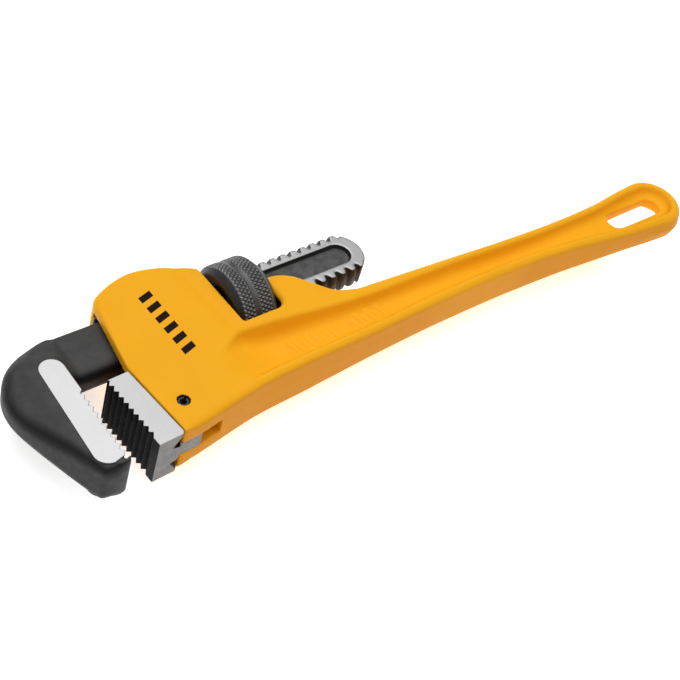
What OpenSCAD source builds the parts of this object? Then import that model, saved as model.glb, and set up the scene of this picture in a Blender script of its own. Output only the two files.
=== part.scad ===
// Straight heavy-duty pipe wrench, nominal length 350 mm, lying on its side.
// X runs along the threaded shank towards the handle's end, -Y is the side where the
// jaws open, and Z is the thickness. The origin is on the shank's axis, on the
// housing's lower cheek, half way between the mouth and the nut's window.

/* [Housing] */
// Thickness of the housing across its two cheeks
housing_t = 20; // [19:0.5:22]
// Height of the slot between the cheeks, for the hook jaw's arm
slot_h = 11.8; // [11.6:0.1:12.4]
// Place of the mouth face along the shank
mouth_x = -24.5; // [-25:0.1:-24]
// Inner face of the roof, measured from the shank's axis
roof_in_y = 12.9; // [12.8:0.1:13.4]
// Floor of the slot, on the heel jaw's side of the shank
floor_y = -16.4; // [-17:0.1:-16.3]

/* [Nut window] */
// Wall of the window towards the mouth
window_x0 = 24.4; // [24:0.1:24.5]
// Wall of the window towards the handle
window_x1 = 44.4; // [44.2:0.1:45]
// Front wall of the window, measured from the shank's axis
window_y = -16.4; // [-18:0.1:-16.4]

/* [Handle] */
// Thickness of the handle where it leaves the housing
handle_t = 17; // [16:0.5:18]
// Thickness of the handle at its far end
handle_end_t = 15.5; // [14:0.5:16]
// Radius of the round end, about the hang slot's centre line
end_r = 10.9; // [10:0.1:11.2]
// Width of the rims on both sides of the recess
rim_w = 4.2; // [3.5:0.1:4.6]
// Depth of the recess in each face
recess_d = 5; // [3:0.5:5]
// Half width of the hang slot
hang_r = 4.2; // [3:0.1:4.6]
// Length of the hang slot between the centres of its round ends
hang_len = 21; // [16:1:24]

/* [Thread] */
// Pitch of the thread on the shank and in the nut
pitch = 4.8; // [4.6:0.1:5]
// Crest radius of the shank's thread
crest_r = 10.4; // [10.2:0.1:10.5]
// Depth of the thread
thread_d = 2.1; // [1.8:0.1:2.2]
// Radial play between the shank and the nut
thread_play = 0.4; // [0.35:0.05:0.5]

/* [Adjusting nut] */
// Outer radius of the nut
nut_r = 15.9; // [15:0.1:16]
// Width of the nut
nut_w = 17.2; // [16.8:0.1:17.4]
// Play between the nut and the window's mouth-side wall
nut_play = 1.1; // [1.1:0.1:1.3]
// Width of the smooth groove around the middle
nut_groove_w = 2.1; // [1.5:0.1:3]

/* [Hook jaw] */
// Thickness of the hook beside the ground strips
hook_t = 17.2; // [16:0.2:17.6]
// Thickness of the hook at its back
back_t = 10.6; // [10:0.2:12]
// Thickness over the ground strips beside the teeth
strip_t = 18; // [17.8:0.2:18.6]
// Thickness of the arm inside the housing
arm_t = 11; // [10.6:0.1:11.2]
// Thickness of the threaded shank
shank_t = 9.6; // [9:0.1:9.8]
// Gap between the tooth tips at the throat
jaw_gap = 8.3; // [8.2:0.1:8.8]
// Length of the hook jaw's row of teeth
teeth_len = 28.5; // [28:0.5:29]
// Number of teeth on the hook jaw
hook_teeth = 10; // [8:1:12]

/* [Heel jaw] */
// Thickness of the heel jaw
heel_t = 19.6; // [18.6:0.2:20]
// Depth of the block behind the tooth tips
heel_w = 9.5; // [9.2:0.1:9.6]
// Length of the heel jaw
heel_len = 31; // [30.5:0.1:31.5]
// Number of teeth on the heel jaw
heel_teeth = 10; // [8:1:10]
// Depth of the teeth
tooth_d = 1.35; // [1:0.05:1.4]
// Thickness of the tongue that the pin holds
tongue_t = 5.8; // [5:0.1:6]
// Radius of the spring pin
pin_r = 2; // [1.8:0.1:2.2]

/* [Hidden] */
$fn = 64;

// Colours
cast_yellow = [0.96, 0.66, 0.14];
forged_grey = [0.24, 0.25, 0.26];
ground_steel = [0.78, 0.79, 0.8];
black_oxide = [0.2, 0.2, 0.21];
spring_steel = [0.45, 0.46, 0.48];

mid_z = housing_t / 2;
far = 60;

// ---- Smooth outlines -------------------------------------------------------

// One point of a curve that runs smoothly from b to c, with a and d beyond them
function blend_point(a, b, c, d, t) =
    0.5 * (2 * b + (c - a) * t + (2 * a - 5 * b + 4 * c - d) * t * t
    + (3 * b - a - 3 * c + d) * t * t * t);

// A smooth open curve through the points p, with n steps between each two
function smooth(p, n) = [
    for (i = [0 : len(p) - 2], k = [0 : n - 1])
        blend_point(p[max(i - 1, 0)], p[i], p[i + 1], p[min(i + 2, len(p) - 1)], k / n),
    p[len(p) - 1]
];

// A round stretch about a centre
function arc(centre, r, from, to, n) = [
    for (k = [0 : n]) centre + r * [cos(from + (to - from) * k / n),
                                    sin(from + (to - from) * k / n)]
];

function reversed(p) = [for (i = [len(p) - 1 : -1 : 0]) p[i]];

// ---- Handle and housing ----------------------------------------------------

hang_x = 229.5;
hang_y = -34.3;
heel_x = mouth_x - 0.15;
heel_y = -17.4;
heel_tilt = 2;
gap = 0.15;

// Front edge of the casting, from the heel jaw to the round end
front_edge = smooth([[-21.5, -47.9], [-14, -47.3], [-4, -45.7], [7, -43.9], [18, -42.6],
                     [40, -41.6], [69, -40.5], [100, -39.3], [140, -39], [171, -39.9],
                     [194, -41.5], [212, -43.2], [hang_x, hang_y - end_r]], 4);
// Rear edge of the handle, from the foot of the horn to the round end
rear_edge = smooth([[75, -19.3], [86, -20], [119, -22.2], [150, -24.6], [178, -25.8],
                    [200, -25.4], [216, -24.1], [hang_x, hang_y + end_r]], 4);
// Roof of the housing, from the mouth to the window
roof_edge = smooth([[-19.6, 10], [-18.6, 14.5], [-15.5, 17.8], [-6.5, 21.4], [3, 22.4],
                    [15, 19.3], [window_x0, 14.2]], 5);
// Horn that closes the window behind the nut
horn_edge = smooth([[window_x1, -1], [50, -1.6], [55.5, -4.6], [60.5, -10.4], [67, -16.4],
                    [75, -19.3]], 5);

module housing_outline() {
    polygon(concat(
        front_edge,
        arc([hang_x, hang_y], end_r, -82, 82, 20),
        reversed(rear_edge),
        reversed(horn_edge),
        [[window_x1, window_y], [window_x0, window_y]],
        reversed(roof_edge),
        [[mouth_x, -15.8], [heel_x + gap, heel_y], [heel_x + 2.2, -47.6]]
    ));
}

// Side view of the casting: the cheeks are thick, the handle is thinner
module thickness_profile() {
    h = housing_t / 2;
    g = handle_t / 2;
    e = handle_end_t / 2;
    polygon([[-far, -h], [40, -h], [66, -g], [170, -g], [250, -e],
             [250, e], [170, g], [66, g], [40, h], [-far, h]]);
}

// Recess between the two rims, around the hang slot and to a round end near the heel jaw
recess_x0 = 28;
recess_x1 = 214;
recess_step = 8;
recess_nose = [12, -30.5];
recess_nose_r = 6;
// Edge of the recess beside the housing and the horn
recess_rear = [[19, -21.6], [recess_x0, -20.6], [60, -22.2]];

module recess_outline() {
    xs = [for (x = [recess_x0 : recess_step : recess_x1]) x];
    rear = concat(recess_rear,
                  [for (x = xs) if (x > 70) [x, lookup(x, rear_edge) - rim_w]]);
    front = [for (x = xs) [x, lookup(x, front_edge) + rim_w]];
    polygon(concat(
        arc(recess_nose, recess_nose_r, 90, 270, 12),
        front,
        arc([hang_x, hang_y], end_r - rim_w + 0.4, -90, 90, 14),
        reversed(rear)
    ));
}

module recesses() {
    for (side = [-1, 1])
        translate([0, 0, side * (handle_t / 2 - recess_d + far / 2)])
            linear_extrude(height = far, center = true)
                recess_outline();
}

module stadium(r, length) {
    circle(r = r);
    translate([length, 0]) circle(r = r);
    translate([0, -r]) square([length, 2 * r]);
}

pin_x = -15.5;
pin_y = -36.5;
hole_play = 0.05;
tongue_play = 0.25;
groove_end_x = -4.6;
groove_y = -21.4;
coil_x = 8;
coil_pocket_r = 3.9;
coil_pocket_y = -23.4;

module handle_housing() {
    color(cast_yellow)
    translate([0, 0, mid_z])
    difference() {
        intersection() {
            linear_extrude(height = housing_t, center = true)
                housing_outline();
            rotate([90, 0, 0])
                linear_extrude(height = 3 * far, center = true)
                    thickness_profile();
        }
        recesses();
        // Slot for the arm and the shank, closed by the roof in front of the window
        translate([mouth_x - 1, floor_y, -slot_h / 2])
            cube([window_x0 - mouth_x + 2, roof_in_y - floor_y, slot_h]);
        translate([window_x0 - 1, floor_y, -slot_h / 2])
            cube([far, far, slot_h]);
        // Groove for the heel jaw's tongue, open towards the front edge
        translate([mouth_x - 1, -far, -tongue_t / 2 - tongue_play])
            cube([groove_end_x - mouth_x + 1, far + groove_y, tongue_t + 2 * tongue_play]);
        translate([pin_x, pin_y, 0])
            cylinder(r = pin_r + hole_play, h = far, center = true);
        // Pocket for the coil spring
        translate([coil_x, floor_y + 1, 0])
            rotate([90, 0, 0])
                cylinder(r = coil_pocket_r, h = floor_y + 1 - coil_pocket_y);
        // Hang slot through the web
        translate([hang_x - hang_len, hang_y, -far / 2])
            linear_extrude(height = far)
                stadium(hang_r, hang_len);
    }
}

// ---- Jaws ------------------------------------------------------------------

// A row of saw teeth from y = 0 to y = -length, with the tips on x = 0. The steep
// flank takes a quarter of each tooth, behind the tip or in front of it.
function saw(count, length, depth, lead) = [
    for (i = [0 : count - 1], k = [0, 1])
        [k == 0 ? 0 : depth, -(i + (k == 0 ? 0 : lead)) * length / count]
];

hook_lead = 0.6;
heel_lead = 0.34;
heel_row = 28;
heel_row_y = -2.2;
heel_back_x = 0.85;
tongue_y = 0.8 - heel_len;
tongue_len = 12.6;
tongue_w = 23;
tongue_r = 2.6;
back_r = 1.5;
// Undercut of the heel jaw's back: its depth, and where it starts, is deepest and ends
undercut_d = 2;
undercut_z = [3.2, 4.2, 8.2];

// Heel jaw in its own frame: its back starts at x = 0 and its rear end is y = 0
module heel_outline() {
    rows = saw(heel_teeth, heel_row, tooth_d, heel_lead);
    polygon(concat(
        [[tooth_d - heel_w, 0]],
        [for (i = [0 : len(rows) - 2]) rows[i] + [-heel_w, heel_row_y]],
        [[-heel_w, -heel_len]],
        arc([heel_back_x - back_r, back_r - heel_len], back_r, -90, 0, 6),
        [[0, 0]]
    ));
}

module heel_jaw() {
    color(ground_steel)
    translate([heel_x, heel_y, mid_z])
    rotate([0, 0, heel_tilt])
    difference() {
        union() {
            linear_extrude(height = heel_t, center = true)
                heel_outline();
            // Tongue with a round nose
            translate([-1, tongue_y, 0])
                linear_extrude(height = tongue_t, center = true)
                    polygon(concat(
                        [[0, 0]],
                        arc([1 + tongue_len - tongue_r, tongue_r], tongue_r, -90, 0, 6),
                        [[1 + tongue_len, tongue_w], [0, tongue_w]]
                    ));
        }
        // Undercuts that clear the rounded edges of the housing
        for (side = [-1, 1])
            rotate([90, 0, 0])
                linear_extrude(height = 4 * far, center = true)
                    polygon([[1, side * undercut_z[0]],
                             [-undercut_d, side * undercut_z[1]],
                             [1, side * undercut_z[2]]]);
        rotate([0, 0, -heel_tilt])
            translate([pin_x - heel_x, pin_y - heel_y, 0])
                cylinder(r = pin_r + hole_play, h = far, center = true);
    }
}

pin_len = housing_t - 1.6;
pin_bore_r = 1.15;
pin_split = 0.7;

module heel_jaw_pin() {
    color(spring_steel)
    translate([pin_x, pin_y, mid_z])
    rotate([0, 0, 35])
    difference() {
        cylinder(r = pin_r, h = pin_len, center = true);
        cylinder(r = pin_bore_r, h = pin_len + 1, center = true);
        translate([0, -pin_split / 2, -pin_len])
            cube([far, pin_split, 2 * pin_len]);
    }
}

hook_x = heel_x - heel_w - jaw_gap;
hook_y = -19;
hook_tilt = -2.3;
arm_rear_y = 10.2;
arm_end_x = -14;
neck_x = -36;
// Where the hook is thickest, beside the teeth
thick_x0 = -53;
thick_x1 = -45;
// Where the toe becomes thinner than the hook
toe_y0 = -50;
toe_y1 = -46;
strip_w = 10.4;
strip_r = 4;
strip_up = 12.9;
throat_r = 4;
bar_x = -9;

// Outer contour of the hook, from the arm's rear edge round to the tip of the toe
hook_contour = smooth([[-30, arm_rear_y], [-37, arm_rear_y], [-43.5, 9.8], [-50.6, 7.4],
                       [-58.2, 3.4], [-63.3, -1.6], [-65.7, -8.2], [-65.6, -15.8],
                       [-62.7, -25], [-59, -34], [-56.4, -40.7], [-54.4, -46.4],
                       [-52.8, -50.1], [-50, -51.2], [-46.4, -50.6], [-44.1, -49.4],
                       [-43.2, -46.9]], 4);

module hook_outline() {
    turn = [[cos(hook_tilt), sin(hook_tilt)], [-sin(hook_tilt), cos(hook_tilt)]];
    polygon(concat(
        reversed(hook_contour),
        [[bar_x, arm_rear_y], [bar_x, -arm_rear_y], [hook_x + throat_r, -arm_rear_y],
         [hook_x + throat_r / 4, -arm_rear_y - throat_r / 3], [hook_x, hook_y + 2.2],
         [hook_x, hook_y] + [-tooth_d, 1] * turn,
         [hook_x, hook_y] + [-tooth_d, -teeth_len] * turn]
    ));
}

// Side view of the hook jaw: thick beside the teeth, thinner back and arm, thin shank
module hook_profile() {
    h = hook_t / 2;
    r = back_t / 2;
    a = arm_t / 2;
    b = shank_t / 2;
    polygon([[-2 * far, -r], [-far, -r], [thick_x0, -h], [thick_x1, -h], [neck_x, -a],
             [arm_end_x, -a], [bar_x, -b], [far, -b], [far, b], [bar_x, b],
             [arm_end_x, a], [neck_x, a], [thick_x1, h], [thick_x0, h], [-far, r],
             [-2 * far, r]]);
}

// View along the shank: the toe is thinner than the hook
module toe_profile() {
    h = hook_t / 2;
    r = back_t / 2;
    polygon([[-far, -r], [toe_y0, -r], [toe_y1, -h], [far, -h], [far, h], [toe_y1, h],
             [toe_y0, r], [-far, r]]);
}

// Teeth and the ground strip beside them, with a round upper end
module strip_outline() {
    rows = saw(hook_teeth, teeth_len, tooth_d, hook_lead);
    translate([hook_x, hook_y])
        rotate(hook_tilt) {
            polygon(concat(
                [for (p = rows) [-p[0], p[1]]],
                reversed(arc([-strip_w + strip_r, -teeth_len + strip_r], strip_r, 180, 270, 8)),
                [[-strip_w, strip_up], [0, strip_up], [0, 2.2], [-tooth_d, 1]]
            ));
            translate([-strip_w / 2, strip_up])
                circle(r = strip_w / 2);
        }
}

// ---- Thread ----------------------------------------------------------------

thread_n = 10;
// Place of a crest at the thread's rear, where phi is 0
crest_x = -1.4;
thread_x0 = 5;
shank_end_x = 92.4;
end_centre_x = shank_end_x - crest_r;
z_steps = 5;

// Radius of the thread at a place x along the axis, at an angle phi about it
function thread_radius(x, phi, play) =
    crest_r - thread_d + play
    + thread_d * min(1, max(0, 0.5 + 0.8 * cos(360 * (x - crest_x) / pitch - phi)));

// Half width of the shank at x: plain before the thread, round at the end
function shank_half(x, y, z) =
    let (r = x < thread_x0 ? arm_rear_y : thread_radius(x, y > 0 ? asin(z / crest_r)
                                                                 : 180 - asin(z / crest_r), 0),
         flank = sqrt(r * r - z * z),
         cap = x > end_centre_x ? sqrt(max(0.04, crest_r * crest_r - pow(x - end_centre_x, 2)))
                                : crest_r)
    min(flank, cap);

// Threaded bar as one closed skin: a ring of points at each step along the axis
module threaded_bar() {
    h = shank_t / 2;
    step = pitch / thread_n;
    xs = [for (x = [bar_x : step : shank_end_x - 0.1]) x];
    zs = [for (k = [0 : z_steps]) -h + 2 * h * k / z_steps];
    ring = 2 * (z_steps + 1);
    points = [
        for (x = xs) each concat(
            [for (z = zs) [x, shank_half(x, 1, z), z]],
            [for (k = [z_steps : -1 : 0]) [x, -shank_half(x, -1, zs[k]), zs[k]]])
    ];
    last = (len(xs) - 1) * ring;
    polyhedron(points, concat(
        [for (k = [0 : z_steps - 1]) [k, k + 1, ring - 2 - k, ring - 1 - k]],
        [for (i = [0 : len(xs) - 2], k = [0 : ring - 1])
            let (a = i * ring + k, b = i * ring + (k + 1) % ring)
            each [[a, a + ring, b], [b, a + ring, b + ring]]],
        [for (k = [0 : z_steps - 1])
            [last + ring - 1 - k, last + ring - 2 - k, last + k + 1, last + k]]
    ));
}

pocket_r = 4.85;
pocket_x0 = 12;
pocket_x1 = 81.8;
pocket_d = 2;

module hook_jaw() {
    color(forged_grey)
    translate([0, 0, mid_z])
    difference() {
        union() {
            intersection() {
                linear_extrude(height = hook_t, center = true)
                    hook_outline();
                rotate([90, 0, 0])
                    linear_extrude(height = 3 * far, center = true)
                        hook_profile();
                rotate([90, 0, 90])
                    linear_extrude(height = 4 * far, center = true)
                        toe_profile();
            }
            linear_extrude(height = strip_t, center = true)
                strip_outline();
            threaded_bar();
        }
        // Long pocket in each side of the shank
        for (side = [-1, 1])
            translate([pocket_x0, 0, side * (shank_t / 2 - pocket_d + far / 2)])
                linear_extrude(height = far, center = true)
                    stadium(pocket_r, pocket_x1 - pocket_x0);
    }
}

nut_x0 = window_x0 + nut_play;
nut_chamfer = 1.2;
groove_d = 0.7;
phi_steps = 36;

// Inside of the nut: the thread with its play, as a closed skin
module nut_thread() {
    step = pitch / thread_n;
    xs = [for (x = [nut_x0 - step : step : nut_x0 + nut_w + 1.5 * step]) x];
    points = [
        for (x = xs, k = [0 : phi_steps - 1])
            let (phi = 360 * k / phi_steps, r = thread_radius(x, phi, thread_play))
            [x, r * cos(phi), r * sin(phi)]
    ];
    last = (len(xs) - 1) * phi_steps;
    polyhedron(points, concat(
        [[for (k = [0 : phi_steps - 1]) k]],
        [for (i = [0 : len(xs) - 2], k = [0 : phi_steps - 1])
            let (a = i * phi_steps + k, b = i * phi_steps + (k + 1) % phi_steps)
            each [[a, a + phi_steps, b], [b, a + phi_steps, b + phi_steps]]],
        [[for (k = [phi_steps - 1 : -1 : 0]) last + k]]
    ));
}

module adjusting_nut() {
    c = nut_chamfer;
    m = nut_w / 2;
    g = nut_groove_w / 2;
    lead_r = crest_r + thread_play + 0.5;
    color(black_oxide)
    translate([0, 0, mid_z])
    difference() {
        translate([nut_x0, 0, 0])
            rotate([0, 90, 0])
                rotate_extrude($fn = 96)
                    polygon([[5, 0], [nut_r - c, 0], [nut_r, c], [nut_r, m - g - groove_d],
                             [nut_r - groove_d, m - g], [nut_r - groove_d, m + g],
                             [nut_r, m + g + groove_d], [nut_r, nut_w - c],
                             [nut_r - c, nut_w], [5, nut_w]]);
        nut_thread();
        for (x = [nut_x0, nut_x0 + nut_w])
            translate([x, 0, 0])
                rotate([0, 90, 0])
                    cylinder(r = lead_r, h = 1.2, center = true);
    }
}

// ---- Springs ---------------------------------------------------------------

leaf_t = 0.9;
leaf_half = 19;
leaf_w = 8;
leaf_low_y = crest_r + 0.15;
leaf_rise = roof_in_y - leaf_t - leaf_low_y - 0.05;

module flat_spring() {
    steps = 16;
    low = [for (k = [-steps : steps])
        [leaf_half * k / steps, leaf_low_y + leaf_rise * pow(k / steps, 2)]];
    color(spring_steel)
    translate([0, 0, mid_z])
        linear_extrude(height = leaf_w, center = true)
            polygon(concat(low, reversed([for (p = low) p + [0, leaf_t]])));
}

coil_wire_r = 0.5;
coil_r = 3.1;
coil_turns = 6;
coil_sides = 8;
coil_steps = 20;

module coil_spring() {
    y0 = coil_pocket_y + coil_wire_r + 0.05;
    y1 = -crest_r - coil_wire_r - 0.15;
    n = coil_turns * coil_steps;
    points = [
        for (i = [0 : n], k = [0 : coil_sides - 1])
            let (a = 360 * i / coil_steps, q = 360 * k / coil_sides,
                 r = coil_r + coil_wire_r * cos(q))
            [r * cos(a), y0 + (y1 - y0) * i / n + coil_wire_r * sin(q), r * sin(a)]
    ];
    last = n * coil_sides;
    color(spring_steel)
    translate([coil_x, 0, mid_z])
        polyhedron(points, concat(
            [[for (k = [coil_sides - 1 : -1 : 0]) k]],
            [for (i = [0 : n - 1], k = [0 : coil_sides - 1])
                let (a = i * coil_sides + k, b = i * coil_sides + (k + 1) % coil_sides)
                each [[a, b, a + coil_sides], [b, b + coil_sides, a + coil_sides]]],
            [[for (k = [0 : coil_sides - 1]) last + k]]
        ));
}

handle_housing();
heel_jaw();
heel_jaw_pin();
flat_spring();
coil_spring();
hook_jaw();
adjusting_nut();
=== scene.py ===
import math

import bmesh
import bpy
import numpy as np
from mathutils import Matrix, Vector


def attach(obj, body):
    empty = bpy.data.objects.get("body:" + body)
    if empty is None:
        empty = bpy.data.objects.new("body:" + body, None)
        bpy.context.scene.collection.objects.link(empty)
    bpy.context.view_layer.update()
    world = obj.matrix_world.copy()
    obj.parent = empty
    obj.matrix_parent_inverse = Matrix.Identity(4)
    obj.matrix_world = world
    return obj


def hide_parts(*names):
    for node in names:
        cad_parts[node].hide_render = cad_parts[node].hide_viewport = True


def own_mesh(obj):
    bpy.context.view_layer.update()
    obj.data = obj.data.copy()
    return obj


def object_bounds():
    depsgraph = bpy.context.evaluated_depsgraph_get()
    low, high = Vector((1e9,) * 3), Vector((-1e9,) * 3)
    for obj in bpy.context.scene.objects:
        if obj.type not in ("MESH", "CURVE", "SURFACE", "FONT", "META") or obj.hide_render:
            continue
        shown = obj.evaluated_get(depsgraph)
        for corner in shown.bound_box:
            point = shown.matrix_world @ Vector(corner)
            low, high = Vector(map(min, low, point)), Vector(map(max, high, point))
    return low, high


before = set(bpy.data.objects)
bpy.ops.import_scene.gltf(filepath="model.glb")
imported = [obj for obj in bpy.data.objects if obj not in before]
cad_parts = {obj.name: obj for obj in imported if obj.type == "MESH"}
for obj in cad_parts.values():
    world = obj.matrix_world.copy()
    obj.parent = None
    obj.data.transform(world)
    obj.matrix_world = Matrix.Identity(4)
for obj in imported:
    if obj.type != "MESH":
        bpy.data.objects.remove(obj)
cad_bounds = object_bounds()

MM = 0.001
MID_Z = 10.0                      # the wrench's middle plane, in mm

# ---- Camera -------------------------------------------------------------------------------


def make_camera():
    data = bpy.data.cameras.new("camera")
    data.lens = 79.4
    data.sensor_width = 36.0
    data.clip_start = 0.01
    data.clip_end = 20.0
    camera = bpy.data.objects.new("camera", data)
    bpy.context.scene.collection.objects.link(camera)
    azimuth, down, roll = math.radians(38.26), math.radians(44.64), math.radians(18.51)
    forward = Vector((math.cos(down) * math.cos(azimuth), math.cos(down) * math.sin(azimuth),
                      -math.sin(down)))
    side = forward.cross(Vector((0, 0, 1))).normalized()
    turn = Matrix.Rotation(-roll, 3, forward)
    right = turn @ side
    up = right.cross(forward)
    m = Matrix((right, up, -forward)).transposed().to_4x4()
    m.translation = Vector((-0.2464, -0.2729, 0.3929))
    camera.matrix_world = m
    bpy.context.scene.camera = camera


make_camera()

# ---- Curves and distance fields -----------------------------------------------------------


def smooth(points, steps):
    """An open curve that runs smoothly through the points."""
    p = np.array(points, float)
    out = []
    for i in range(len(p) - 1):
        a, b, c, d = p[max(i - 1, 0)], p[i], p[i + 1], p[min(i + 2, len(p) - 1)]
        for k in range(steps):
            t = k / steps
            out.append(0.5 * (2 * b + (c - a) * t + (2 * a - 5 * b + 4 * c - d) * t * t
                              + (3 * b - a - 3 * c + d) * t ** 3))
    out.append(p[-1])
    return np.array(out)


def span(low, high, step):
    return np.arange(low, high + step, step)


def arc(centre, r, start, end, n):
    """Points along an arc, from the start angle to the end angle in degrees."""
    a = np.radians(np.linspace(start, end, n + 1))
    return np.c_[centre[0] + r * np.cos(a), centre[1] + r * np.sin(a)]


def polygon_distance(points, xs, ys):
    """Signed distance to a polygon at every crossing of xs and ys, negative inside."""
    p = np.asarray(points, float)
    q = np.roll(p, -1, axis=0)
    gx, gy = np.meshgrid(xs, ys, indexing="ij")
    best = np.full(gx.shape, 1e9)
    inside = np.zeros(gx.shape, bool)
    for (ax, ay), (bx, by) in zip(p, q):
        ex, ey = bx - ax, by - ay
        length2 = ex * ex + ey * ey
        if length2 < 1e-12:
            continue
        t = np.clip(((gx - ax) * ex + (gy - ay) * ey) / length2, 0, 1)
        best = np.minimum(best, (gx - ax - t * ex) ** 2 + (gy - ay - t * ey) ** 2)
        if ay != by:
            crosses = ((ay > gy) != (by > gy)) & (gx < ex * (gy - ay) / ey + ax)
            inside ^= crosses
    return np.where(inside, -1, 1) * np.sqrt(best)


def both(a, b, r):
    """Intersection of two solids, with the edge between them rounded to radius r."""
    u, v = a + r, b + r
    return np.hypot(np.maximum(u, 0), np.maximum(v, 0)) + np.minimum(np.maximum(u, v), 0) - r


def either(a, b, r):
    """Union of two solids, with a fillet of radius r."""
    return -both(-a, -b, r)


def ramp(x, a, b):
    """0 before a, 1 after b, and smooth between."""
    t = np.clip((x - a) / (b - a), 0, 1)
    return t * t * (3 - 2 * t)


def surface(f, xs, ys, zs):
    """Points and faces of the surface where the field f is zero, one point in a crossed cell."""
    shape = tuple(n - 1 for n in f.shape)
    total = shape[0] * shape[1] * shape[2]
    sums = np.zeros((4, total))
    rows = []
    for axis in range(3):
        lower = [slice(None)] * 3
        upper = [slice(None)] * 3
        lower[axis], upper[axis] = slice(0, -1), slice(1, None)
        a, b = f[tuple(lower)], f[tuple(upper)]
        at = np.argwhere((a < 0) != (b < 0))
        va, vb = a[tuple(at.T)], b[tuple(at.T)]
        place = at.astype(float)
        place[:, axis] += va / (va - vb)
        one, two = [k for k in range(3) if k != axis]
        cells = []
        for da, db in ((0, 0), (-1, 0), (-1, -1), (0, -1)):
            cell = at.copy()
            cell[:, one] += da
            cell[:, two] += db
            flat = (cell[:, 0] * shape[1] + cell[:, 1]) * shape[2] + cell[:, 2]
            cells.append(flat)
            for k in range(3):
                sums[k] += np.bincount(flat, place[:, k], total)
            sums[3] += np.bincount(flat, minlength=total)
        cells = np.stack(cells, 1)
        flip = (va < 0) if axis != 1 else (va > 0)
        cells[~flip] = cells[~flip][:, ::-1]
        rows.append(cells)
    used = np.flatnonzero(sums[3])
    number = np.full(total, -1)
    number[used] = np.arange(len(used))
    points = (sums[:3, used] / sums[3, used]).T
    step = np.array([xs[1] - xs[0], ys[1] - ys[0], zs[1] - zs[0]])
    points = points * step + np.array([xs[0], ys[0], zs[0]])
    return points, number[np.concatenate(rows)]


def make_object(name, points_mm, faces, smooth_shading=True):
    """An object in metres; faces are an array of quads or a list of lists."""
    mesh = bpy.data.meshes.new(name)
    points = np.asarray(points_mm, float) * MM
    if isinstance(faces, np.ndarray):
        n, k = faces.shape
        mesh.vertices.add(len(points))
        mesh.vertices.foreach_set("co", points.ravel())
        mesh.loops.add(n * k)
        mesh.loops.foreach_set("vertex_index", faces.ravel().astype(np.int32))
        mesh.polygons.add(n)
        mesh.polygons.foreach_set("loop_start", np.arange(0, n * k, k, dtype=np.int32))
        mesh.update(calc_edges=True)
        mesh.validate()
    else:
        mesh.from_pydata([tuple(p) for p in points], [], [[int(k) for k in f] for f in faces])
        mesh.update()
    mesh.polygons.foreach_set("use_smooth", [smooth_shading] * len(mesh.polygons))
    obj = bpy.data.objects.new(name, mesh)
    bpy.context.scene.collection.objects.link(obj)
    return obj


# ---- Handle and housing -------------------------------------------------------------------

MOUTH_X = -24.5                   # the housing's face behind the heel jaw
PIN = (-15.5, -36.5)              # axis of the heel jaw's pin
PIN_HOLE_R = 2.15
GAP = 0.15                        # between the heel jaw and the housing
HEEL_X, HEEL_Y, HEEL_W = MOUTH_X - GAP, -17.4, 9.5
JAW_GAP = 8.3                     # between the tooth tips
RIM = 3.4                         # width of the rim around the handle's recess
END_R = 12.3                      # round end of the handle
HANG = np.array([229.5, -33.8])   # centre of the round end
HANG_R, HANG_LEN = 4.2, 21        # the hang slot runs from there towards the jaws
GROOVE = (3.15, -21.4, -4.6)      # half width, roof and inner end, for the heel jaw's tongue
COIL_X = 8                        # axis of the coil spring and its pocket
COIL_POCKET = (3.9, -23.4, -16)   # radius, floor and top
WINDOW = (24.4, 43.7, -16.0)      # both ends and the floor
SLOT = (5.9, -16.4, 12.9, 84)     # half height, floor, roof and inner end

front_edge = smooth([(-21.5, -47.9), (-14, -47.3), (-4, -45.7), (7, -43.9), (18, -42.6),
                     (40, -41.6), (69, -40.5), (100, -39.3), (140, -39.2), (171, -40.8),
                     (194, -43.2), (212, -45.0), (229.5, -46.1)], 4)
rear_edge = smooth([(75, -19.3), (86, -20), (119, -22.2), (150, -24.3), (178, -24.7),
                    (200, -23.7), (216, -22.2), (229.5, -21.5)], 4)
roof_edge = smooth([(-19.6, 10), (-18.6, 14.5), (-15.5, 17.8), (-6.5, 21.4), (3, 22.4),
                    (15, 19.3), (24.4, 14.2)], 5)
horn_edge = smooth([(44.4, -1), (50, -1.6), (55.5, -4.6), (60.5, -10.4), (67, -16.4),
                    (75, -19.3)], 5)


def housing_outline():
    return np.concatenate([
        front_edge, arc(HANG, END_R, -82, 82, 24), rear_edge[::-1], horn_edge[::-1],
        roof_edge[::-1], [(MOUTH_X, -15.8), (MOUTH_X, HEEL_Y), (HEEL_X + 2.2, -47.6)]])


def recess_outline():
    """The recess in each face of the handle, a rim's width inside the casting."""
    front = [(x, y + RIM) for x, y in front_edge if 14 < x < 222]
    rear = [(x, y - RIM) for x, y in rear_edge if x > 112]
    return np.concatenate([
        arc((14, -30.6), 8.6, 140, 262, 12), front, arc(HANG, END_R - RIM, -88, 88, 20),
        rear[::-1], [(81.4, -24.7), (58, -23.1), (32, -20.4), (20.1, -19.4)]])


def casting_half(x, y):
    """Half thickness of the casting."""
    half = np.interp(x, [-60, 36, 68, 150, 180, 205], [10, 10, 8.5, 8.4, 7.4, 6.1])
    half = half + 0 * y
    # Shallow valley across the cheek, in front of the raised band beside the window
    valley = np.exp(-((x - 18.4 + 0.07 * y) / 2.3) ** 2) * ramp(y, -19, -13)
    return half - 0.5 * valley


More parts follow.
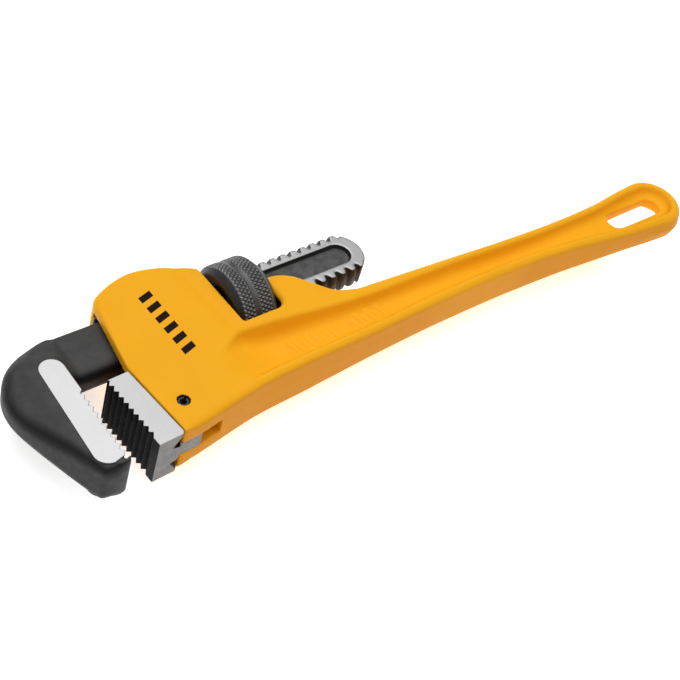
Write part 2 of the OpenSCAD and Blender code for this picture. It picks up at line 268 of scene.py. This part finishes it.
def recess_half(x, y):
    """Half thickness on the recess floor, with its row of plain raised bars."""
    web = 3.5 + 7.2 * (1 - ramp(x, 3, 30)) + 0 * y
    lean = x + 0.25 * (y + 31)
    bar = np.abs((lean - 35) % 5.2 - 2.6)
    raised = (1 - ramp(bar, 0.7, 1.5)) * ramp(lean, 34.5, 35.5) * ramp(-lean, -82, -81)
    raised = raised * (1 - ramp(np.abs(y + 31), 3.2, 4.0)) * (np.abs(lean - 60.8) > 2.8)
    return web + 0.6 * raised - 1.3 * ramp(x, 180, 205)


def cut_openings(body, x, y, z):
    """Cuts the slot, window, groove, pin hole, hang slot and spring pocket."""
    # The slot has a roof as far as the window, and is open behind it
    ceiling = np.where(x < WINDOW[0], y - SLOT[2], -9.0)
    slot = np.maximum(np.maximum(z - SLOT[0], SLOT[1] - y), np.maximum(x - SLOT[3], ceiling))
    body = both(body, -slot, 0.5)
    window_r = 1.0 + 3.4 * ramp(x, 34, 38)
    window = both(np.maximum(WINDOW[0] - x, x - WINDOW[1]), WINDOW[2] - y, window_r) + 0 * z
    body = both(body, -window, 0.8 + 1.8 * ramp(x, 41, 44))
    groove = np.maximum(np.maximum(z - GROOVE[0], y - GROOVE[1]), x - GROOVE[2])
    body = both(body, -groove, 0.3)
    pin_hole = np.hypot(x - PIN[0], y - PIN[1]) - PIN_HOLE_R + 0 * z
    body = both(body, -pin_hole, 0.6)
    slide = np.clip(x, HANG[0] - HANG_LEN, HANG[0])
    hang = np.hypot(x - slide, y - HANG[1]) - HANG_R + 0 * z
    body = both(body, -hang, 0.8)
    radius, floor_y, top_y = COIL_POCKET
    spring_pocket = np.maximum(np.hypot(x - COIL_X, z) - radius,
                               np.maximum(floor_y - y, y - top_y))
    return np.maximum(body, -spring_pocket)


def housing_points():
    step = 0.55
    xs, ys, zs = span(-26, 246, step), span(-50, 24.5, step), span(-1.2, 21.2, step)
    x, y = xs[:, None], ys[None, :]
    outer = polygon_distance(housing_outline(), xs, ys)[:, :, None]
    recess_side = polygon_distance(recess_outline(), xs, ys)[:, :, None]
    half = casting_half(x, y)[:, :, None]
    edge_r = 0.5 + 1.9 * ramp(x, -24, -15) + 0 * y
    edge_r = (edge_r - 0.9 * ramp(x, 42, 45) * ramp(-x, -66, -60) * ramp(y, -20, -12))[:, :, None]
    end = ramp(x, 208, 232)[:, :, None]
    z = np.abs(zs - MID_Z)[None, None, :]
    # A slight draft, and a round end that swells towards the middle plane
    side = outer - 1.4 * end + z * (0.02 + 0.22 * end)
    body = both(side, z - half, edge_r)
    wall = (recess_side + (half - z) * 0.46) * 0.908
    recess = both(wall, recess_half(x, y)[:, :, None] - z, 2.2)
    body = both(body, -recess, 1.1)
    body = cut_openings(body, xs[:, None, None], ys[None, :, None], z)
    return surface(body, xs, ys, zs)


# ---- Hook jaw -----------------------------------------------------------------------------

HOOK = np.array([HEEL_X - HEEL_W - JAW_GAP, -19.0])     # rear end of its toothed face
HOOK_TILT = math.radians(-2.3)
ARM_REAR = 10.2
CREST_R, THREAD_D, PITCH = 10.4, 2.0, 4.8
CREST_X = -1.4                    # a crest of the thread, at angle 0
SHANK_HALF = 4.8                  # half thickness between the flats
SHANK_END = 92.4
SHANK_POCKET = (12, 81.8, 5.05, 2.8)    # centres of both ends, radius, half thickness left

hook_contour = smooth([(-30, ARM_REAR), (-37, ARM_REAR), (-43.5, 10.1), (-51.3, 8.6),
                       (-58.4, 4.4), (-63.0, -1.6), (-65.1, -8.2), (-64.9, -15.8),
                       (-62.4, -25), (-59, -34), (-56.4, -40.7), (-54.4, -45.8),
                       (-53.0, -48.6), (-50.2, -49.6), (-46.8, -49.7), (-43.9, -48.9),
                       (-42.8, -46.8)], 4)


def hook_place(points):
    """Points of the toothed face's own frame, tips on x = 0 and rear end on y = 0."""
    c, s = math.cos(HOOK_TILT), math.sin(HOOK_TILT)
    p = np.asarray(points, float)
    return HOOK + np.c_[p[:, 0] * c - p[:, 1] * s, p[:, 0] * s + p[:, 1] * c]


def thread_radius(x, phi, play=0.0):
    """Radius of the thread at each place along it and each angle around it."""
    wave = 0.72 + 0.72 * np.cos(2 * np.pi * (x - CREST_X) / PITCH - phi)
    return CREST_R - THREAD_D + play + THREAD_D * ramp(wave, -0.12, 1.05)


def hook_half(x, y, ahead):
    """Half thickness: full beside the teeth, falling to the back, the toe and the arm."""
    thick = 8.75 - 3.3 * ramp(-ahead, 9.5, 23.0)
    thick = thick - (thick - 5.5) * ramp(x, -45, -36.5) * ramp(y, -18.5, -15.0)
    thick = thick - (thick - 6.2) * ramp(-y, 47.5, 53.5)
    return thick - np.maximum(thick - 6.3, 0) * ramp(y, -2, 8)


def threaded_shank(x, y, z):
    """The threaded shank, flat on both sides, with a plain neck and a round end."""
    phi = np.arctan2(z, y)
    threaded = ramp(x, 3.5, 6.0)
    bar = (np.hypot(y, z) - thread_radius(x, phi) * threaded - 10.1 * (1 - threaded)) * 0.8
    end = np.hypot(np.maximum(x - (SHANK_END - CREST_R), 0), y) - CREST_R + 0 * z
    bar = both(bar, end, 0.5)
    bar = both(bar, np.abs(z) - SHANK_HALF, 0.45)
    return np.maximum(bar, -10 - x)


def shank_pocket(x, y, z):
    """The long pocket in each side of the shank."""
    start, stop, radius, left = SHANK_POCKET
    slide = np.clip(x, start, stop)
    wall = np.hypot(x - slide, y) - radius + (SHANK_HALF - z) * 0.1
    return both(wall, left - z, 0.5)


def hook_points():
    step = 0.42
    xs, ys, zs = span(-67, 94, step), span(-53, 12.5, step), span(0.3, 19.7, step)
    outline = np.concatenate([
        hook_contour[::-1], [(-9, ARM_REAR), (-9, -ARM_REAR)],
        arc((HOOK[0] + 4.0, -ARM_REAR - 4), 4, 90, 175, 6), [tuple(HOOK + (-0.1, 2.2))],
        hook_place([(-1.5, 1.0), (-1.5, -28.5)])])
    outer = polygon_distance(outline, xs, ys)
    x, y = xs[:, None], ys[None, :]
    # How far each place is ahead of the tooth tips, negative inside the hook
    ahead = (x - HOOK[0]) * math.cos(HOOK_TILT) + (y - HOOK[1]) * math.sin(HOOK_TILT)
    near_teeth = ramp(ahead, -6, -1.5) * ramp(-y, 17, 20) * ramp(y, -50.5, -47.5)
    edge_r = 4.3 - 2.2 * ramp(x, -50, -40) * ramp(y, -6, 4)
    edge_r = edge_r * (1 - near_teeth) + 0.5 * near_teeth
    edge_r = np.minimum(edge_r, 0.6 + 20 * ramp(-x, 10, 40))
    x3, y3, z3 = xs[:, None, None], ys[None, :, None], (zs - MID_Z)[None, None, :]
    z = np.abs(z3)
    half = hook_half(x, y, ahead)[:, :, None]
    body = both(outer[:, :, None], z - half, edge_r[:, :, None])
    body = either(body, threaded_shank(x3, y3, z3), 0.6)
    body = both(body, -shank_pocket(x3, y3, z), 0.25)
    return surface(body, xs, ys, zs)


def saw(count, length, depth, lead):
    """A row of teeth from y = 0 down, tips on x = 0; lead is how far along a tooth its root is."""
    rows = []
    for i in range(count):
        rows.append((0.0, -i * length / count))
        rows.append((depth, -(i + lead) * length / count))
    return np.array(rows)


def soften_edges(obj, width, turn):
    """Bevels the edges that turn by more than an angle in degrees."""
    mod = obj.modifiers.new("soft_edges", "BEVEL")
    mod.width = width * MM
    mod.segments = 2
    mod.limit_method = "ANGLE"
    mod.angle_limit = math.radians(turn)


def solid(name, points, faces, bevel):
    """A closed solid with lightly bevelled edges."""
    obj = make_object(name, points, faces, smooth_shading=False)
    bm = bmesh.new()
    bm.from_mesh(obj.data)
    bmesh.ops.recalc_face_normals(bm, faces=bm.faces)
    bm.to_mesh(obj.data)
    bm.free()
    soften_edges(obj, bevel, 25)
    return obj


def tube_faces(rings, n):
    """Faces of a closed tube through rings of n points each, with a cap on both ends."""
    last = (rings - 1) * n
    faces = [list(range(n))[::-1], list(range(last, last + n))]
    for i in range(rings - 1):
        for k in range(n):
            a, b = i * n + k, i * n + (k + 1) % n
            faces.append([a, b, b + n, a + n])
    return faces


def extrude(name, outline, z0, z1, bevel):
    """A flat plate with lightly bevelled edges."""
    points = [(x, y, z) for z in (z0, z1) for x, y in outline]
    return solid(name, points, tube_faces(2, len(outline)), bevel)


# ---- Materials ----------------------------------------------------------------------------


def new_material(name):
    material = bpy.data.materials.new(name)
    material.use_nodes = True
    tree = material.node_tree
    tree.nodes.clear()
    out = tree.nodes.new("ShaderNodeOutputMaterial")
    shader = tree.nodes.new("ShaderNodeBsdfPrincipled")
    tree.links.new(shader.outputs[0], out.inputs[0])
    return material, tree, shader


def coordinates(tree):
    return tree.nodes.new("ShaderNodeTexCoord").outputs["Object"]


def noise(tree, vector, scale, detail=4.0, rough=0.55):
    node = tree.nodes.new("ShaderNodeTexNoise")
    node.inputs["Scale"].default_value = scale
    node.inputs["Detail"].default_value = detail
    node.inputs["Roughness"].default_value = rough
    tree.links.new(vector, node.inputs["Vector"])
    return node.outputs["Fac"]


def grey(value):
    return (value, value, value)


def ramp_node(tree, share, stops):
    """A colour that follows the share through stops of (share, colour)."""
    node = tree.nodes.new("ShaderNodeValToRGB")
    elements = node.color_ramp.elements
    while len(elements) > 1:
        elements.remove(elements[0])
    for i, (place, colour) in enumerate(stops):
        element = elements[0] if i == 0 else elements.new(place)
        element.position = place
        element.color = (*colour, 1)
    tree.links.new(share, node.inputs[0])
    return node.outputs[0]


def mix(tree, share, first, second):
    """The first colour turning into the second as the share goes from 0 to 1."""
    node = tree.nodes.new("ShaderNodeMix")
    node.data_type = "RGBA"
    tree.links.new(share, node.inputs[0])
    for colour, socket in ((first, node.inputs[6]), (second, node.inputs[7])):
        if isinstance(colour, tuple):
            socket.default_value = (*colour, 1)
        else:
            tree.links.new(colour, socket)
    return node.outputs[2]


def set_colour(tree, shader, colour):
    tree.links.new(colour, shader.inputs["Base Color"])


def set_roughness(tree, shader, share, low, high, start=0.3, end=0.7):
    """Roughness from low to high, as the share goes from start to end."""
    rough = ramp_node(tree, share, [(start, grey(low)), (end, grey(high))])
    tree.links.new(rough, shader.inputs["Roughness"])


def bump(tree, shader, height, strength, distance, before=None):
    """Adds a bump to the shader, on top of the one before."""
    node = tree.nodes.new("ShaderNodeBump")
    node.inputs["Strength"].default_value = strength
    node.inputs["Distance"].default_value = distance
    tree.links.new(height, node.inputs["Height"])
    if before is not None:
        tree.links.new(before, node.inputs["Normal"])
    tree.links.new(node.outputs[0], shader.inputs["Normal"])
    return node.outputs[0]


def pointiness(tree, low, high):
    """0 where the surface is more hollow than low, 1 where it is more proud than high."""
    geometry = tree.nodes.new("ShaderNodeNewGeometry")
    return ramp_node(tree, geometry.outputs["Pointiness"], [(low, grey(0)), (high, grey(1))])


def flatness(tree):
    """0 on faces that stand upright, 1 on faces that lie flat."""
    geometry = tree.nodes.new("ShaderNodeNewGeometry")
    parts = tree.nodes.new("ShaderNodeSeparateXYZ")
    tree.links.new(geometry.outputs["Normal"], parts.inputs[0])
    size = tree.nodes.new("ShaderNodeMath")
    size.operation = "ABSOLUTE"
    tree.links.new(parts.outputs[2], size.inputs[0])
    return size.outputs[0]


def painted_shade_front_wall(tree, where):
    """Mask of painted shade: 1 on the upright outer face along the handle's front edge, 0
    elsewhere.
    """
    upright = ramp_node(tree, flatness(tree), [(0.15, grey(1)), (0.75, grey(0))])
    place = tree.nodes.new("ShaderNodeSeparateXYZ")
    tree.links.new(where, place.inputs[0])
    front = tree.nodes.new("ShaderNodeMapRange")
    front.inputs["From Min"].default_value = -36.5 * MM
    front.inputs["From Max"].default_value = -39.5 * MM
    tree.links.new(place.outputs[1], front.inputs["Value"])
    share = tree.nodes.new("ShaderNodeMath")
    share.operation = "MULTIPLY"
    tree.links.new(upright, share.inputs[0])
    tree.links.new(front.outputs[0], share.inputs[1])
    return share.outputs[0]


def paint_material():
    material, tree, shader = new_material("yellow_powder_coat")
    where = coordinates(tree)
    cloud = noise(tree, where, 28, 5)
    fine = noise(tree, where, 900, 3)
    cast = noise(tree, where, 260, 6, 0.6)
    base = ramp_node(tree, cloud, [(0.3, (0.94, 0.42, 0.009)), (0.7, (1.0, 0.46, 0.012))])
    # Painted highlight: the proud edges are painted a lighter yellow
    proud_edges = pointiness(tree, 0.515, 0.58)
    base = mix(tree, proud_edges, base, (1.0, 0.50, 0.03))
    # Painted shade: the upright front wall is painted a darker, browner yellow
    base = mix(tree, painted_shade_front_wall(tree, where), base, (0.68, 0.26, 0.0))
    set_colour(tree, shader, base)
    set_roughness(tree, shader, cast, 0.36, 0.5)
    shader.inputs["Specular IOR Level"].default_value = 0.08
    first = bump(tree, shader, cast, 0.16, 0.0004)
    bump(tree, shader, fine, 0.10, 0.0001, first)
    return material


def forging_material():
    material, tree, shader = new_material("blackened_forging")
    where = coordinates(tree)
    cloud = noise(tree, where, 60, 5)
    mill_scale = noise(tree, where, 420, 6, 0.65)
    base = ramp_node(tree, cloud, [(0.3, grey(0.028)), (0.72, grey(0.047))])
    proud_edges = pointiness(tree, 0.53, 0.66)
    base = mix(tree, proud_edges, base, (0.10, 0.10, 0.105))
    # Painted shade: darkest on the rounded edge between the face and the flank, and dark on the
    # upright flanks
    band = ramp_node(tree, flatness(tree), [(0.2, grey(0.75)), (0.42, grey(1)),
                                            (0.66, grey(1)), (0.9, grey(0))])
    base = mix(tree, band, base, grey(0.001))
    set_colour(tree, shader, base)
    shader.inputs["Metallic"].default_value = 0.1
    shader.inputs["Specular IOR Level"].default_value = 0.4
    set_roughness(tree, shader, mill_scale, 0.44, 0.62)
    bump(tree, shader, mill_scale, 0.3, 0.0004)
    return material


def ground_material(name, colour, angle):
    """Bright ground steel, with fine straight grinding marks."""
    material, tree, shader = new_material(name)
    where = coordinates(tree)
    stretch = tree.nodes.new("ShaderNodeMapping")
    stretch.inputs["Rotation"].default_value = (0, 0, angle)
    stretch.inputs["Scale"].default_value = (1, 0.03, 1)
    tree.links.new(where, stretch.inputs[0])
    lines = noise(tree, stretch.outputs[0], 2600, 3, 0.7)
    cloud = noise(tree, where, 90, 3)
    base = ramp_node(tree, lines, [(0.25, tuple(0.84 * c for c in colour)), (0.75, colour)])
    clouded = ramp_node(tree, cloud, [(0.35, grey(0)), (0.75, grey(0.35))])
    base = mix(tree, clouded, base, tuple(0.8 * c for c in colour))
    set_colour(tree, shader, base)
    shader.inputs["Metallic"].default_value = 0.75
    set_roughness(tree, shader, lines, 0.34, 0.48, 0.2, 0.8)
    bump(tree, shader, lines, 0.12, 0.0001)
    return material


def raw_material(name, dark, light):
    """Heat-treated steel that was left unground: mottled grey."""
    material, tree, shader = new_material(name)
    where = coordinates(tree)
    cloud = noise(tree, where, 240, 6, 0.65)
    fine = noise(tree, where, 1400, 4)
    base = ramp_node(tree, cloud, [(0.3, grey(dark)), (0.7, grey(light))])
    set_colour(tree, shader, base)
    set_roughness(tree, shader, fine, 0.42, 0.6)
    shader.inputs["Metallic"].default_value = 0.5
    bump(tree, shader, cloud, 0.2, 0.0002)
    return material


def black_material(name, dark, light, shine):
    material, tree, shader = new_material(name)
    where = coordinates(tree)
    grain = noise(tree, where, 500, 5, 0.6)
    set_colour(tree, shader, ramp_node(tree, grain, [(0.3, grey(dark)), (0.7, grey(light))]))
    set_roughness(tree, shader, grain, 0.4, 0.55)
    shader.inputs["Specular IOR Level"].default_value = shine
    bump(tree, shader, grain, 0.15, 0.0002)
    return material


def nut_material():
    material, tree, shader = new_material("knurled_nut")
    where = coordinates(tree)
    grain = noise(tree, where, 380, 5, 0.6)
    base = ramp_node(tree, grain, [(0.3, grey(0.085)), (0.7, grey(0.13))])
    crest = pointiness(tree, 0.515, 0.60)
    base = mix(tree, crest, base, (0.36, 0.36, 0.37))
    valley = pointiness(tree, 0.40, 0.485)
    base = mix(tree, valley, (0.012, 0.012, 0.013), base)
    set_colour(tree, shader, base)
    set_roughness(tree, shader, grain, 0.33, 0.48)
    shader.inputs["Metallic"].default_value = 0.7
    bump(tree, shader, grain, 0.12, 0.0002)
    return material


def spring_material():
    material, tree, shader = new_material("spring_steel")
    where = coordinates(tree)
    grain = noise(tree, where, 700, 4, 0.6)
    base = ramp_node(tree, grain, [(0.3, (0.22, 0.23, 0.25)), (0.7, (0.34, 0.35, 0.37))])
    set_colour(tree, shader, base)
    set_roughness(tree, shader, grain, 0.3, 0.42)
    shader.inputs["Metallic"].default_value = 0.9
    bump(tree, shader, grain, 0.08, 0.0001)
    return material


def floor_material():
    material, tree, shader = new_material("pale_floor")
    where = coordinates(tree)
    base = ramp_node(tree, noise(tree, where, 3), [(0.3, grey(0.93)), (0.7, grey(0.95))])
    set_colour(tree, shader, base)
    shader.inputs["Roughness"].default_value = 0.7
    shader.inputs["Specular IOR Level"].default_value = 0.1
    shader.inputs["Emission Color"].default_value = (1, 1, 1, 1)
    shader.inputs["Emission Strength"].default_value = 0.6
    return material


def ink_material():
    material, tree, shader = new_material("dark_print")
    where = coordinates(tree)
    grain = noise(tree, where, 900, 3)
    base = ramp_node(tree, grain, [(0.3, (0.008, 0.004, 0.003)), (0.7, (0.013, 0.006, 0.004))])
    set_colour(tree, shader, base)
    set_roughness(tree, shader, grain, 0.55, 0.7)
    shader.inputs["Specular IOR Level"].default_value = 0.1
    return material


paint = paint_material()
forging = forging_material()
ground = ground_material("ground_steel", (0.61, 0.61, 0.615), math.radians(12))
ground_heel = ground_material("ground_heel_steel", (0.53, 0.53, 0.535), math.radians(50))
ground_shank = ground_material("ground_shank_steel", (0.50, 0.50, 0.505), math.radians(90))
# Black oxide, also used as painted shade in the pin hole, on the nut's end faces and bore, and on
# the pin
black = black_material("black_oxide", 0.010, 0.022, 0.5)
black_teeth_and_painted_shade = black_material("black_teeth_and_painted_shade", 0.002, 0.005, 0.12)
raw = raw_material("unground_steel", 0.145, 0.235)
pocket_steel = raw_material("pocket_scale", 0.04, 0.12)
nut_steel = nut_material()
spring = spring_material()
ink = ink_material()

# ---- Pieces -------------------------------------------------------------------------------


def give_materials(obj, *materials):
    for material in materials:
        obj.data.materials.append(material)


housing = make_object("cast_handle_and_housing", *housing_points())
give_materials(housing, paint, black)
# Painted shade: the wall of the pin hole is painted black
for p in housing.data.polygons:
    if math.hypot(p.center.x / MM - PIN[0], p.center.y / MM - PIN[1]) < PIN_HOLE_R + 0.3:
        p.material_index = 1
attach(housing, "handle")
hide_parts("handle_housing")

hook = make_object("hook_forging", *hook_points())
give_materials(hook, forging, ground_shank, black, pocket_steel)
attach(hook, "hook")
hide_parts("hook_jaw")


def paint_shank():
    """The shank's flats are ground bright, the pocket is grey and the thread black."""
    mesh = hook.data
    n = len(mesh.polygons)
    centre = np.zeros(n * 3)
    normal = np.zeros(n * 3)
    mesh.polygons.foreach_get("center", centre)
    mesh.polygons.foreach_get("normal", normal)
    centre = centre.reshape(-1, 3) / MM
    normal = normal.reshape(-1, 3)
    height = np.abs(centre[:, 2] - MID_Z)
    on_flat = (np.abs(normal[:, 2]) > 0.8) & (np.abs(height - SHANK_HALF) < 0.25)
    flat = on_flat & (centre[:, 0] > -6)
    floor_of_pocket = (np.abs(normal[:, 2]) > 0.6) & (height < 3.4)
    threaded = centre[:, 0] > 4
    index = np.where(threaded, 2, 0)
    index = np.where(threaded & floor_of_pocket, 3, index)
    index = np.where(flat, 1, index).astype(np.int32)
    mesh.polygons.foreach_set("material_index", index)
    mesh.update()


paint_shank()


def jaw_block():
    """The ground strips and the teeth of the hook jaw."""
    width, r, up = 10.4, 5.1, 12.9
    rows = saw(10, 28.5, 1.3, 0.6)
    rows[:, 0] *= -1
    foot = arc((-width + r, -28.5 + r), r, 270, 180, 8)
    head = arc((-4.55, up + 1.0), 4.55, 180, 0, 16)
    outline = hook_place(np.concatenate([rows, foot, head, [(0, 2.2), (-1.3, 1.0)]]))
    return extrude("hook_jaw_teeth_and_strips", outline, MID_Z - 8.85, MID_Z + 9.0, 0.22)


teeth = jaw_block()
give_materials(teeth, ground, black_teeth_and_painted_shade, forging)
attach(teeth, "hook")
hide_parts("hook_jaw")


def darken_teeth(obj, facing):
    """Faces of the teeth take the second material."""
    for p in obj.data.polygons:
        c = p.center / MM
        if abs(p.normal.z) < 0.5 and facing(c):
            p.material_index = 1


for p in teeth.data.polygons:
    p.material_index = 0 if abs(p.normal.z) > 0.5 else 2
darken_teeth(teeth, lambda c: c.x > HOOK[0] - 2.6 and c.y < -17)


def heel_jaw():
    tilt = math.radians(2)
    c, s = math.cos(tilt), math.sin(tilt)

    def place(points):
        p = np.asarray(points, float)
        return np.array([HEEL_X, HEEL_Y]) + np.c_[p[:, 0] * c - p[:, 1] * s,
                                                  p[:, 0] * s + p[:, 1] * c]

    rows = saw(10, 28.0, 1.4, 0.34)[:-1]
    rows += np.array([-HEEL_W, -2.2])
    outline = np.concatenate([[(0.8 - HEEL_W, 0), (1.4 - HEEL_W, -0.5)], rows, [(-HEEL_W, -31)],
                              arc((-0.65, -29.5), 1.5, -90, 0, 6), [(-0.4, 0)]])
    outline = place(outline)
    # The back is undercut on both sides of the tongue, so the block is made of layers
    deep = 2.9
    upper = [(3.2, 0), (4.2, deep), (8.2, 0), (9.8, 0)]
    levels = [(-z, cut) for z, cut in upper[::-1]] + upper
    back = np.array([0.0] * (len(outline) - 8) + [1.0] * 8)
    along = np.array([math.cos(tilt), math.sin(tilt)])
    points = []
    for z, cut in levels:
        ring = outline - along * (back * cut)[:, None]
        points += [(x, y, MID_Z + z) for x, y in ring]
    block = solid("heel_jaw_block", points, tube_faces(len(levels), len(outline)), 0.2)
    nose = np.concatenate([[(0, 0)], arc((10.6, 3.2), 3.2, -90, 0, 8), [(13.8, 23), (0, 23)]])
    nose = nose + np.array([-2, -30.2])
    tongue = extrude("heel_jaw_tongue", place(nose), MID_Z - 2.9, MID_Z + 2.9, 0.25)
    return block, tongue


block, tongue = heel_jaw()
for piece in (block, tongue):
    give_materials(piece, ground_heel, black_teeth_and_painted_shade, raw)
    for p in piece.data.polygons:
        # Painted shade: the slanted faces inside the notches at the back are painted black
        p.material_index = 0 if abs(p.normal.z) > 0.95 else 1 if abs(p.normal.z) > 0.2 else 2
    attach(piece, "handle")
    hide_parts("heel_jaw")
darken_teeth(block, lambda c: c.x < HEEL_X - HEEL_W + 2.8 and c.y > -48.3)


NUT_X, NUT_W, NUT_R = 25.5, 17.2, 15.9    # near face, width and outer radius
KNURLS, KNURL_LEAD, KNURL_D = 58, 2.5, 0.6


def nut_profile():
    """The nut's outer profile: rows of x from its near face, radius, and 1 where knurled."""
    chamfer, groove_half, groove_d = 2.6, 0.9, 0.5
    middle = NUT_W / 2 - 0.8
    bore = CREST_R + 0.9
    rows = []

    def line(a, b, n, knurl=0.0):
        for k in range(n):
            t = k / n
            rows.append((a[0] + (b[0] - a[0]) * t, a[1] + (b[1] - a[1]) * t, knurl))

    knurled, plain, deep = NUT_R - 0.05, NUT_R - 0.1, NUT_R - groove_d
    near, far = middle - groove_half, middle + groove_half
    line((0, bore), (0, NUT_R - chamfer), 3)
    line((0, NUT_R - chamfer), (chamfer, plain), 4)
    line((chamfer, knurled), (near - groove_d, knurled), 38, 1.0)
    line((near - groove_d, plain), (near, deep), 2)
    line((near, deep), (far, deep), 4)
    line((far, deep), (far + groove_d, plain), 2)
    line((far + groove_d, knurled), (NUT_W - chamfer, knurled), 38, 1.0)
    line((NUT_W - chamfer, plain), (NUT_W, NUT_R - chamfer), 4)
    line((NUT_W, NUT_R - chamfer), (NUT_W, bore), 3)
    line((NUT_W, bore), (NUT_W - 0.7, CREST_R + 0.3), 2)
    return np.array(rows)


def adjusting_nut():
    """The nut as one closed skin: knurled outside, threaded inside."""
    around = 640
    phi = np.arange(around) * 2 * np.pi / around
    outer = nut_profile()
    inner_x = np.linspace(NUT_W - 0.7, 0.7, 60)
    sx = np.concatenate([outer[:, 0], inner_x])
    count = len(sx)
    radius = np.zeros((count, around))
    radius[:len(outer)] = outer[:, 1:2]
    for i in np.flatnonzero(outer[:, 2]):
        left = (phi * KNURLS / (2 * np.pi) + sx[i] / KNURL_LEAD) % 1
        right = (phi * KNURLS / (2 * np.pi) - sx[i] / KNURL_LEAD) % 1
        cut = np.minimum(np.abs(left - 0.5), np.abs(right - 0.5)) * 2
        radius[i] -= KNURL_D * (1 - np.clip(cut * 1.7, 0, 1))
    for i, ix in enumerate(inner_x):
        radius[len(outer) + i] = thread_radius(NUT_X + ix, phi, 0.4)
    points = np.stack([np.broadcast_to((NUT_X + sx)[:, None], radius.shape),
                       radius * np.cos(phi), MID_Z + radius * np.sin(phi)], -1).reshape(-1, 3)
    i, k = np.meshgrid(np.arange(count), np.arange(around), indexing="ij")
    a, b = i * around + k, i * around + (k + 1) % around
    c, d = ((i + 1) % count) * around + (k + 1) % around, ((i + 1) % count) * around + k
    faces = np.stack([a, b, c, d], -1).reshape(-1, 4)
    return make_object("adjusting_nut_ring", points, faces)


nut = adjusting_nut()
give_materials(nut, nut_steel, black)
# Painted shade: the end faces and the bore are painted black, as they lie in shade
for p in nut.data.polygons:
    from_axis = math.hypot(p.center.y, p.center.z - MID_Z * MM) / MM
    end_face = abs(p.normal.x) > 0.62 and from_axis < 15.4
    p.material_index = 1 if end_face or from_axis < 12.5 else 0
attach(nut, "nut")
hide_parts("adjusting_nut")


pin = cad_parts["heel_jaw_pin"]
# Painted shade: the pin is painted black for the shade deep in its hole
pin.data.materials.clear()
give_materials(pin, black)
weld = pin.modifiers.new("weld", "WELD")
weld.merge_threshold = 0.01 * MM
soften_edges(pin, 0.2, 40)


def leaf_spring():
    """Bowed strip of spring steel between the roof and the shank, with rolled edges."""
    half, width, thick = 19.0, 8.0, 0.9
    low_y, rise = 10.55, 1.4
    n, m = 48, 24
    points = []
    for i in range(n + 1):
        x = half * (2 * i / n - 1)
        slope = math.atan(2 * rise * x / half ** 2)
        middle = low_y + thick / 2 + rise * (x / half) ** 2
        for k in range(m):
            a = 2 * math.pi * k / m
            e = 0.35
            across = math.copysign(abs(math.cos(a)) ** e, math.cos(a)) * width / 2
            up = math.copysign(abs(math.sin(a)) ** e, math.sin(a)) * thick / 2
            points.append((x - up * math.sin(slope), middle + up * math.cos(slope), MID_Z + across))
    # Seen along the strip, its rings run the other way round
    faces = [face[::-1] for face in tube_faces(n + 1, m)]
    return make_object("flat_leaf_spring", points, faces)


def helical_spring():
    """Round wire wound in six turns, standing on the pocket's floor."""
    wire, r, turns, around, sides = 0.5, 3.1, 6, 40, 14
    y0, y1 = -22.85, -11.05
    n = turns * around
    points = []
    for i in range(n + 1):
        a = 2 * math.pi * i / around
        t = i / n
        for k in range(sides):
            q = 2 * math.pi * k / sides
            rr = r + wire * math.cos(q)
            points.append((COIL_X + rr * math.cos(a), y0 + (y1 - y0) * t + wire * math.sin(q),
                           MID_Z + rr * math.sin(a)))
    return make_object("helical_spring", points, tube_faces(n + 1, sides))


leaf = leaf_spring()
coil = helical_spring()
for piece, node, fixed_y, share in ((leaf, "flat_spring", 0.01285, 0.35),
                                    (coil, "coil_spring", -0.0234, 0.6)):
    give_materials(piece, spring)
    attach(piece, "handle")
    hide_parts(node)
    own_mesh(piece)


def printed_mark():
    """A plain printed band of slanted bars."""
    verts, faces = [], []
    top = 20.02
    for i in range(6):
        y0 = -20.0 + i * 5.3
        quad = [(-3.6, y0), (2.0, y0 + 1.6), (2.0, y0 + 4.4), (-3.6, y0 + 2.8)]
        n = len(verts)
        verts += [(x, y, top) for x, y in quad] + [(x, y, top - 0.3) for x, y in quad]
        faces += [[n, n + 1, n + 2, n + 3], [n + 7, n + 6, n + 5, n + 4]]
        faces += [[n + k, n + 4 + k, n + 4 + (k + 1) % 4, n + (k + 1) % 4] for k in range(4)]
    return make_object("printed_bars", verts, faces, smooth_shading=False)


mark = printed_mark()
give_materials(mark, ink)
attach(mark, "handle")

# ---- Floor and light ----------------------------------------------------------------------

bpy.ops.mesh.primitive_plane_add(size=6)
floor = bpy.context.active_object
floor.name = "floor"
floor.location = (0.1, 0, cad_bounds[0].z - 0.0002)
give_materials(floor, floor_material())

world = bpy.data.worlds.new("studio")
bpy.context.scene.world = world
world.use_nodes = True
world.node_tree.nodes["Background"].inputs[0].default_value = (1, 1, 1, 1)
world.node_tree.nodes["Background"].inputs[1].default_value = 0.3


def area_light(name, place, target, size, power):
    data = bpy.data.lights.new(name, "AREA")
    data.shape = "SQUARE"
    data.size = size
    data.energy = power
    light = bpy.data.objects.new(name, data)
    bpy.context.scene.collection.objects.link(light)
    place, target = Vector(place), Vector(target)
    light.location = place
    light.rotation_euler = (target - place).to_track_quat("-Z", "Y").to_euler()


area_light("key_light", (0.25, 0.75, 1.7), (0.05, 0, 0), 1.6, 9)
area_light("overhead_light", (0.0, 0.1, 1.7), (0, 0.1, 0), 3.0, 26)

bpy.context.scene.view_settings.view_transform = "Standard"
